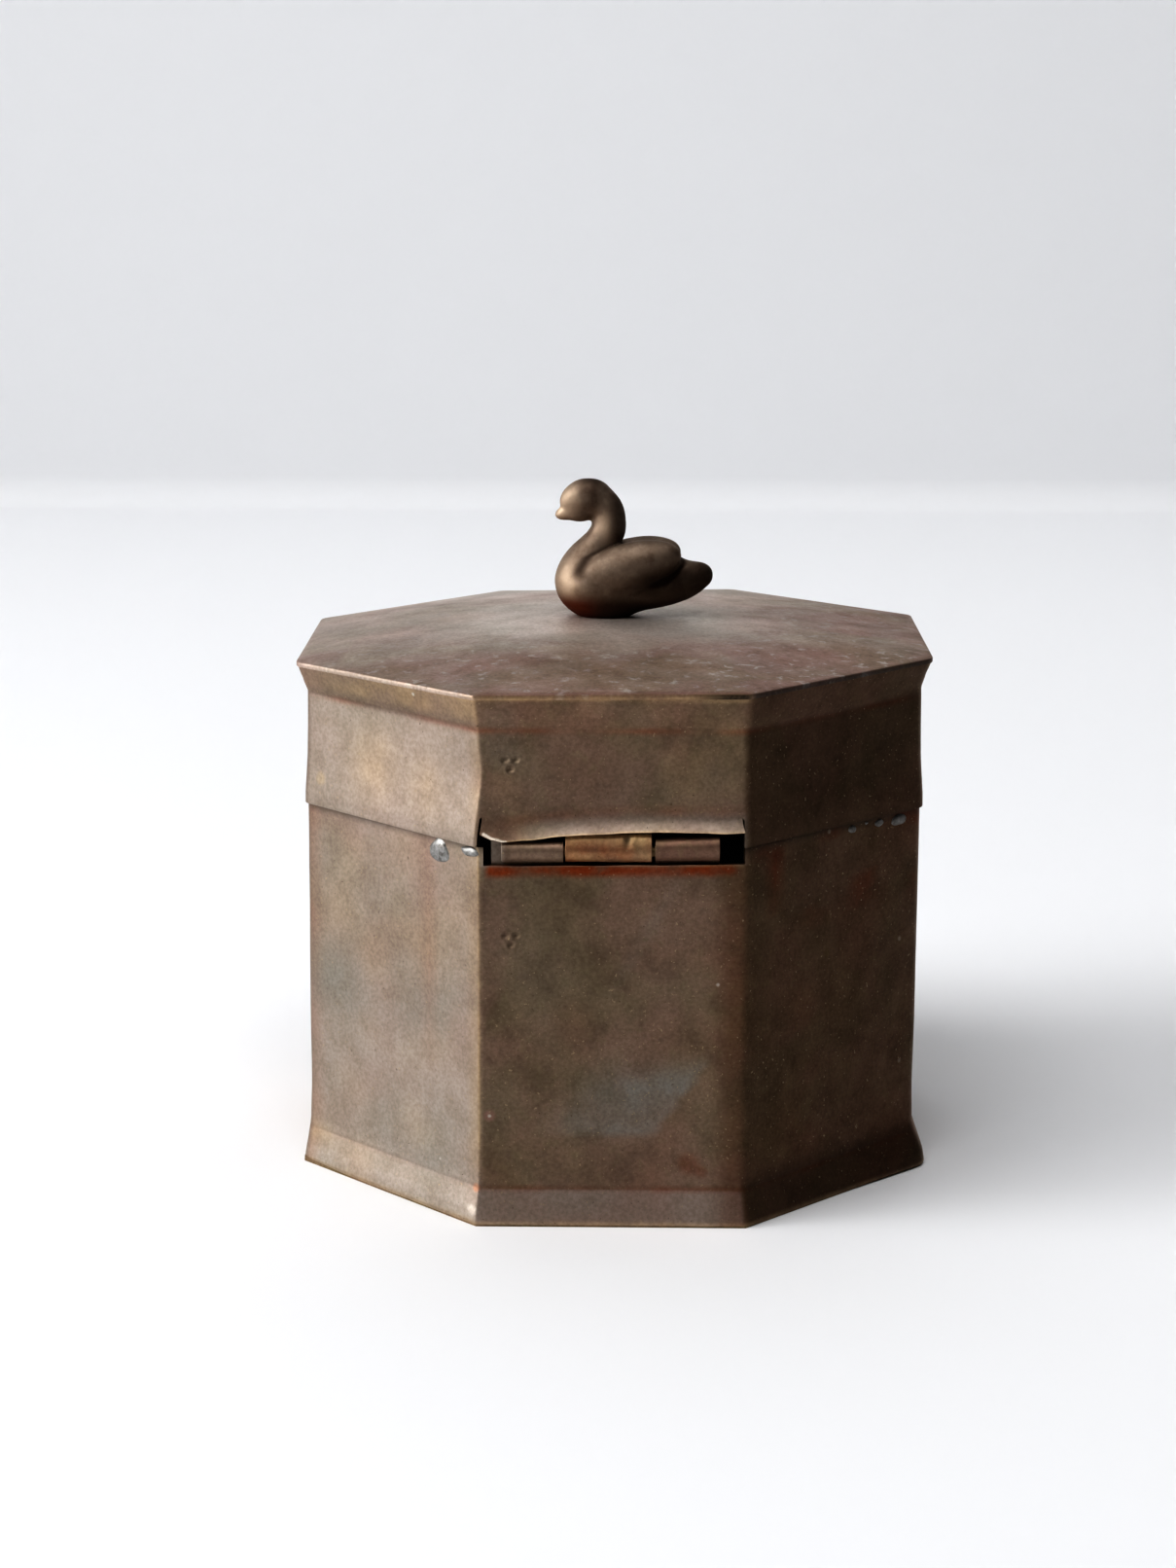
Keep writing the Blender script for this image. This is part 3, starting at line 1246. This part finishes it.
class Nodes:
    """Short ways to add and join shader nodes."""

    def __init__(self, name):
        self.material = bpy.data.materials.new(name)
        self.material.use_nodes = True
        self.tree = self.material.node_tree
        metres = self.add("TexCoord", "Object", {})
        self.place = self.add("Mapping", "Vector", {"Vector": metres, "Scale": (1 / MM, 1 / MM, 1 / MM)})

    def feed(self, socket, value):
        """Join another node's output to a socket, or give the socket a plain value."""
        if isinstance(value, bpy.types.NodeSocket):
            self.tree.links.new(value, socket)
        else:
            socket.default_value = value

    def add(self, kind, output, inputs, **settings):
        """One output of a new node that has some settings and inputs."""
        node = self.tree.nodes.new("ShaderNode" + kind)
        for name, value in settings.items():
            setattr(node, name, value)
        for socket, value in inputs.items():
            self.feed(node.inputs[socket], value)
        return node.outputs[output]

    def noise(self, size, detail=4, rough=0.55, warp=0.0):
        """Noise from 0 to 1 with features about one size, in millimetres, wide."""
        return self.add("TexNoise", "Fac", {"Vector": self.place, "Scale": 1 / size, "Detail": detail,
                                            "Roughness": rough, "Distortion": warp})

    def ramp(self, output, stops):
        """Colours eased between (position, colour) stops."""
        colours = self.add("ValToRGB", "Color", {"Fac": output})
        ramp = colours.node.color_ramp
        ramp.interpolation = "EASE"
        while len(ramp.elements) < len(stops):
            ramp.elements.new(0.5)
        for element, (position, colour) in zip(ramp.elements, stops):
            element.position = position
            element.color = (*colour, 1)
        return colours

    def fade(self, output, low, high, to_low=0.0, to_high=1.0):
        """Map a range onto another, clamped and eased."""
        inputs = {"Value": output, "From Min": low, "From Max": high, "To Min": to_low, "To Max": to_high}
        return self.add("MapRange", "Result", inputs, interpolation_type="SMOOTHSTEP")

    def maths(self, operation, first, second):
        clamp = operation in ("ADD", "MULTIPLY")
        return self.add("Math", "Value", {0: first, 1: second}, operation=operation, use_clamp=clamp)

    def times(self, first, second):
        return self.maths("MULTIPLY", first, second)

    def mix(self, factor, first, second, how="MIX"):
        """The second colour over the first. A colour is three numbers or another node's output."""
        first, second = ((*colour, 1) if isinstance(colour, tuple) else colour for colour in (first, second))
        return self.add("Mix", 2, {"Factor": factor, 6: first, 7: second}, data_type="RGBA", blend_type=how)

    def spot(self, place, radius):
        """1 at a place on the piece, in millimetres, fading to 0 one radius away."""
        distance = self.add("VectorMath", "Value", {0: self.place, 1: place}, operation="DISTANCE")
        return self.fade(distance, radius * 0.35, radius, 1, 0)

    def painted(self, name):
        return self.add("Attribute", "Fac", {}, attribute_name=name)

    def bump(self, output, strength, distance, **below):
        """Relief from a height; Normal is the relief below it, if any."""
        inputs = {"Strength": strength, "Distance": distance * MM, "Height": output, **below}
        return self.add("Bump", "Normal", inputs)

    def finish(self, colour, roughness, normal, metallic):
        shader = self.tree.nodes["Principled BSDF"]
        self.feed(shader.inputs["Base Color"], colour)
        self.feed(shader.inputs["Roughness"], roughness)
        self.feed(shader.inputs["Normal"], normal)
        self.feed(shader.inputs["Metallic"], metallic)
        return self.material


OLIVE = (0.218, 0.164, 0.106)
RED_BROWN = (0.240, 0.164, 0.117)
GREEN_GOLD = (0.250, 0.208, 0.125)
UMBER = (0.165, 0.112, 0.082)
LILAC_GREY = (0.265, 0.222, 0.205)
PALE = (0.375, 0.325, 0.286)
TOP_PALE = (0.600, 0.545, 0.500)
DEEP = (0.50, 0.42, 0.35)
GOLD = (0.56, 0.42, 0.255)
COPPER_RED = (0.30, 0.080, 0.028)
BLOOM = (0.276, 0.264, 0.236)
SALT = (0.60, 0.57, 0.51)
RUST = (0.22, 0.10, 0.060)
CREVICE = (0.020, 0.015, 0.011)
BRIGHT_SPECK = (0.46, 0.37, 0.25)
DARK_SPECK = (0.09, 0.06, 0.04)
SPLASH = (0.75, 0.72, 0.68)
CURL = (0.90, 0.82, 0.73)

# Single marks: place, radius, colour, strength.
WALL_SPOTS = [
    (on_sheet(0, 14.85, 35.6), 0.4, SALT, 0.8),
    (on_sheet(0, -17.2, 16.1), 1.2, (0.42, 0.25, 0.22), 0.5),
    (on_sheet(0, -17.2, 16.1), 0.4, SALT, 0.8),
    (on_sheet(0, 11.0, 9.2), 2.3, RUST, 0.55),
    (on_sheet(0, 12.8, 8.0), 1.3, RUST, 0.5),
    (on_sheet(LEFT, 10.5, 7.7), 0.45, SPLASH, 0.9),
    (on_sheet(LEFT, 9.9, 7.9), 0.35, SPLASH, 0.7),
    (on_sheet(LEFT, 18.2, 2.2, 45.9), 1.3, (0.62, 0.56, 0.50), 0.7),
    (on_sheet(LEFT, 18.4, 5.4, 45.4), 0.9, (0.55, 0.24, 0.12), 0.5),
    (on_sheet(RIGHT, -1.5, 54.8), 0.5, SALT, 0.7),
    (on_sheet(RIGHT, 14.6, 35.9), 0.5, SALT, 0.6),
    (on_sheet(RIGHT, 15.3, 17.0), 0.5, SALT, 0.6),
    (on_sheet(RIGHT, -12.3, 53.1), 1.6, RUST, 0.6),
    (on_sheet(RIGHT, -1.6, 36.9), 1.0, GREEN_GOLD, 0.6),
]
LID_SPOTS = [
    (on_sheet(LEFT, 6.3, 75.2, 45.8), 0.4, SALT, 0.9),
    (on_sheet(LEFT, -15.3, 59.5, 45.2), 1.4, GOLD, 0.4),
]
# The bright curl at the left end of the lip: marks close together along its edge.
for across in spread(-17.8, -14.8, 9):
    proud = lerp(46.0, 46.45, smooth(-17.9, -15, across))
    curl_place = on_sheet(0, across, along_curve(LIP_EDGE, across) + 0.05, proud)
    LID_SPOTS.append((curl_place, 0.36, CURL, 0.9 - 0.05 * (across + 17.8)))


def brass_ground(n, middle, patch, tint, fleck):
    """The metal's own colour: broad olive and red-brown stains, flecks and mottling."""
    broad = n.noise(15, 3, 0.5, warp=0.5)
    colour = n.mix(n.fade(broad, 0.40, 0.60), OLIVE, RED_BROWN)
    colour = n.mix(n.fade(patch, 0.53, 0.70, 0, 0.38), colour, fleck)
    colour = n.mix(n.fade(patch, 0.46, 0.30, 0, 0.36), colour, UMBER)
    colour = n.mix(1.0, colour, tint, "MULTIPLY")
    shade = n.ramp(middle, [(0.30, (0.84, 0.83, 0.82)), (0.50, (1.0, 1.0, 1.0)), (0.70, (1.13, 1.14, 1.15))])
    return n.mix(1.0, colour, shade, "MULTIPLY")


def fine_grain(n, colour, fine):
    """Grain, slow changes of cast, and bright and dark specks over everything."""
    speck = n.noise(0.42, 2, 0.5)
    grain = n.ramp(fine, [(0.30, (0.89, 0.885, 0.88)), (0.70, (1.10, 1.11, 1.12))])
    colour = n.mix(1.0, colour, grain, "MULTIPLY")
    cast = n.ramp(n.noise(17, 2, 0.5), [(0.34, (0.95, 0.96, 0.95)), (0.66, (1.05, 1.03, 1.03))])
    colour = n.mix(1.0, colour, cast, "MULTIPLY")
    colour = n.mix(n.fade(speck, 0.66, 0.75, 0, 0.6), colour, BRIGHT_SPECK)
    return n.mix(n.fade(speck, 0.31, 0.23, 0, 0.55), colour, DARK_SPECK)


def patina(name, tint=(1, 1, 1), pale_tone=PALE, spots=(), fleck=GREEN_GOLD):
    """Old brass, with the painted strengths for each kind of wear and tarnish over its own colour."""
    metallic = 0.76
    dull, glossy = 0.60, 0.50
    n = Nodes(name)
    middle = n.noise(4.2, 5, 0.62, warp=0.3)
    patch = n.noise(1.9, 4, 0.6, warp=0.4)
    fine = n.noise(0.55, 4, 0.6)
    colour = brass_ground(n, middle, patch, tint, fleck)
    layers = [
        ("pale", pale_tone, middle, 0.30, 0.62, 0.80, 1.0), ("bloom", BLOOM, middle, 0.32, 0.62, 0.65, 1.0),
        ("salt", SALT, patch, 0.56, 0.68, 0, 0.55), ("red", COPPER_RED, middle, 0.28, 0.60, 0.45, 1.0),
        ("gold", GOLD, middle, 0.30, 0.60, 0.45, 1.0),
    ]
    for painted, layer_colour, cloud, low, high, least, most in layers:
        layer = n.times(n.painted(painted), n.fade(cloud, low, high, least, most))
        colour = n.mix(layer, colour, layer_colour)
    gold = layer
    for place, radius, mark_colour, strength in spots:
        mark = n.times(n.spot(place, radius), n.fade(patch, 0.30, 0.60, strength * 0.6, strength))
        colour = n.mix(mark, colour, mark_colour)
    colour = n.mix(n.painted("deep"), colour, DEEP, "MULTIPLY")
    colour = fine_grain(n, colour, fine)
    dark = n.times(n.painted("dark"), n.fade(fine, 0.20, 0.70, 0.75, 1.0))
    colour = n.mix(dark, colour, CREVICE)
    roughness = n.maths("SUBTRACT", n.fade(middle, 0.25, 0.75, dull, glossy), n.times(gold, 0.10))
    metal = n.maths("ADD", n.times(gold, 0.15), n.maths("SUBTRACT", metallic, n.times(dark, 0.4)))
    relief = n.bump(middle, 0.15, 0.12, Normal=n.bump(fine, 0.15, 0.04))
    return n.finish(colour, roughness, relief, metal)


def plain_solder():
    """Grey solder, duller at the drops on the right."""
    n = Nodes("solder_grey")
    cloud = n.noise(1.1, 4, 0.6)
    fine = n.noise(0.25, 3, 0.6)
    greys = [(0.30, (0.15, 0.14, 0.13)), (0.50, (0.32, 0.315, 0.305)), (0.72, (0.52, 0.515, 0.50))]
    dulled = n.times(n.spot(on_sheet(RIGHT, 8.5, 54.3), 24), 0.62)
    colour = n.mix(dulled, n.ramp(cloud, greys), (0.13, 0.12, 0.11))
    return n.finish(colour, n.fade(fine, 0.3, 0.7, 0.38, 0.52), n.bump(fine, 0.3, 0.04), 0.8)


def cast_brass():
    """The swan's brown cast brass, worn bright, stained red and dark in its hollows."""
    n = Nodes("cast_brass_worn")
    middle = n.noise(2.4, 4, 0.6)
    fine = n.noise(0.5, 4, 0.6)
    browns = [(0.30, (0.18, 0.132, 0.100)), (0.50, (0.245, 0.19, 0.148)), (0.72, (0.31, 0.25, 0.198))]
    gold = n.times(n.painted("gold"), n.fade(fine, 0.2, 0.6, 0.6, 1))
    colour = n.mix(gold, n.ramp(middle, browns), (0.60, 0.48, 0.37))
    colour = n.mix(n.painted("red"), colour, (0.20, 0.055, 0.025))
    colour = n.mix(n.painted("dark"), colour, (0.035, 0.018, 0.011))
    return n.finish(colour, n.fade(fine, 0.3, 0.7, 0.54, 0.64), n.bump(fine, 0.2, 0.04), 0.72)


# -------- build

def dress(piece, kind, material):
    """Paint a piece's wear and give it its material."""
    for name, rule in PAINT_RULES[kind].items():
        paint(piece, name, rule)
    set_material(piece, material)


def set_material(piece, material):
    piece.data.materials.clear()
    piece.data.materials.append(material)


hinge_patina = patina("hinge_patina", tint=(1.12, 1.08, 1.18))
inner_patina = patina("inner_patina", tint=(1.1, 1.1, 1.0))
top_patina = patina("lid_top_patina", tint=(1.36, 1.36, 1.60), pale_tone=TOP_PALE, fleck=LILAC_GREY)
solder_grey = plain_solder()

dress(build_body_wall(), "wall", patina("wall_patina", spots=WALL_SPOTS))
dress(build_lid_skirt(), "lid", patina("lid_patina", spots=LID_SPOTS))
dress(build_lid_top(), "top", top_patina)
dress(build_body_leaf(), "hinge", hinge_patina)
dress(build_lid_leaf(), "hinge", hinge_patina)
dress(build_solder_drops(), "solder", solder_grey)
dress(build_swan(), "swan", cast_brass())
set_material(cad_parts["base_plate"], patina("base_plate_patina", tint=(1.15, 1.2, 1.1)))
for node in ("inner_collar", "hinge_pin", "finial_washer", "finial_screw"):
    set_material(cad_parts[node], inner_patina)
for node in ("base_solder", "wall_seam_solder", "lid_seam_solder", "rim_solder"):
    set_material(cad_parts[node], solder_grey)


# -------- stage, light, camera (metres)

def build_stage():
    """A pale table that runs back and turns up into a pale wall."""
    table_start = -6.0
    table_end = 0.715
    sweep = 0.012
    wall_top = 2.2
    half_width = 4.0
    section = [(table_start, 0.0), (table_end - sweep, 0.0)]
    for turn in spread(0, math.pi / 2, 12)[1:]:
        section.append((table_end - sweep + sweep * math.sin(turn), sweep - sweep * math.cos(turn)))
    section.append((table_end, wall_top))
    points = [Vector((side * half_width, y, z)) for side in (-1, 1) for y, z in section]
    count = len(section)
    faces = [[n, n + 1, count + n + 1, count + n] for n in range(count - 1)]
    mesh = bpy.data.meshes.new("studio_sweep")
    mesh.from_pydata(points, [], faces)
    shade_smooth(mesh)
    stage = add_object("studio_sweep", mesh)
    material = bpy.data.materials.new("studio_paper")
    material.use_nodes = True
    paper = material.node_tree.nodes["Principled BSDF"]
    paper.inputs["Base Color"].default_value = (0.83, 0.835, 0.85, 1)
    paper.inputs["Roughness"].default_value = 0.85
    mesh.materials.append(material)


def add_panel(name, place, target, wide, high, power, beam=180):
    """A soft light that faces a target and isn't seen itself. Power in watts, beam in degrees."""
    light = bpy.data.lights.new(name, "AREA")
    light.shape = "RECTANGLE"
    light.size = wide
    light.size_y = high
    light.energy = power
    light.spread = math.radians(beam)
    panel = add_object(name, light)
    panel.location = place
    panel.rotation_euler = (Vector(target) - Vector(place)).to_track_quat("-Z", "Y").to_euler()
    panel.visible_camera = False


BOX_MIDDLE = (0, 0, 0.05)


def panel_place(forward_turn, climb, distance):
    """A place to the left of the box: forward_turn swings it to the front, climb lifts it; in degrees."""
    turn = math.radians(forward_turn)
    rise = math.radians(climb)
    flat = math.cos(rise) * distance
    return (-math.cos(turn) * flat, -math.sin(turn) * flat, BOX_MIDDLE[2] + math.sin(rise) * distance)


def build_light():
    """Windows on the left, ceiling light before and over the box, light for the wall and the far table."""
    add_panel("window_low", panel_place(9, 13, 1.6), BOX_MIDDLE, 0.8, 0.5, 1.55, 80)
    add_panel("window_high", panel_place(20, 32, 1.6), BOX_MIDDLE, 1.0, 0.8, 1.9, 80)
    add_panel("window_front", panel_place(52, 50, 1.7), BOX_MIDDLE, 0.9, 0.7, 0.32)
    add_panel("ceiling_front", (-0.15, -0.75, 1.5), (0, -0.25, 0), 1.2, 0.8, 7.0)
    add_panel("ceiling", (0, 0.25, 1.5), (0, 0.25, 0), 2.4, 2.4, 7.0)
    add_panel("backdrop", (0, 0.60, 0.75), (0, 0.56, 0), 1.8, 0.25, 0.24, 100)
    add_panel("far_table", (0, -2.6, 1.6), (0, -2.6, 0), 5.0, 2.4, 12.0, 60)
    world = bpy.data.worlds.new("studio_air")
    bpy.context.scene.world = world
    world.use_nodes = True
    background = world.node_tree.nodes["Background"]
    background.inputs["Color"].default_value = (1, 1, 1, 1)
    background.inputs["Strength"].default_value = 0.026


def build_camera():
    """A camera in front of the hinge face, a little above the lid; angles in radians."""
    pitch, yaw, roll_turn = 0.2229, 0.0138, 0.0025
    data = bpy.data.cameras.new("camera")
    data.sensor_fit = "AUTO"
    data.sensor_width = 36
    data.lens = 71.57
    data.clip_start = 0.01
    data.clip_end = 50
    camera = add_object("camera", data)
    camera.location = (0.0024, -0.4644, 0.15935)
    forward = Vector((-math.sin(yaw) * math.cos(pitch), math.cos(yaw) * math.cos(pitch), -math.sin(pitch)))
    aim = forward.to_track_quat("-Z", "Y")
    camera.rotation_mode = "QUATERNION"
    camera.rotation_quaternion = aim @ Quaternion((0, 0, 1), roll_turn)
    bpy.context.scene.camera = camera


build_stage()
build_light()
build_camera()
bpy.context.scene.view_settings.view_transform = "Standard"
bpy.context.scene.view_settings.look = "Very High Contrast"
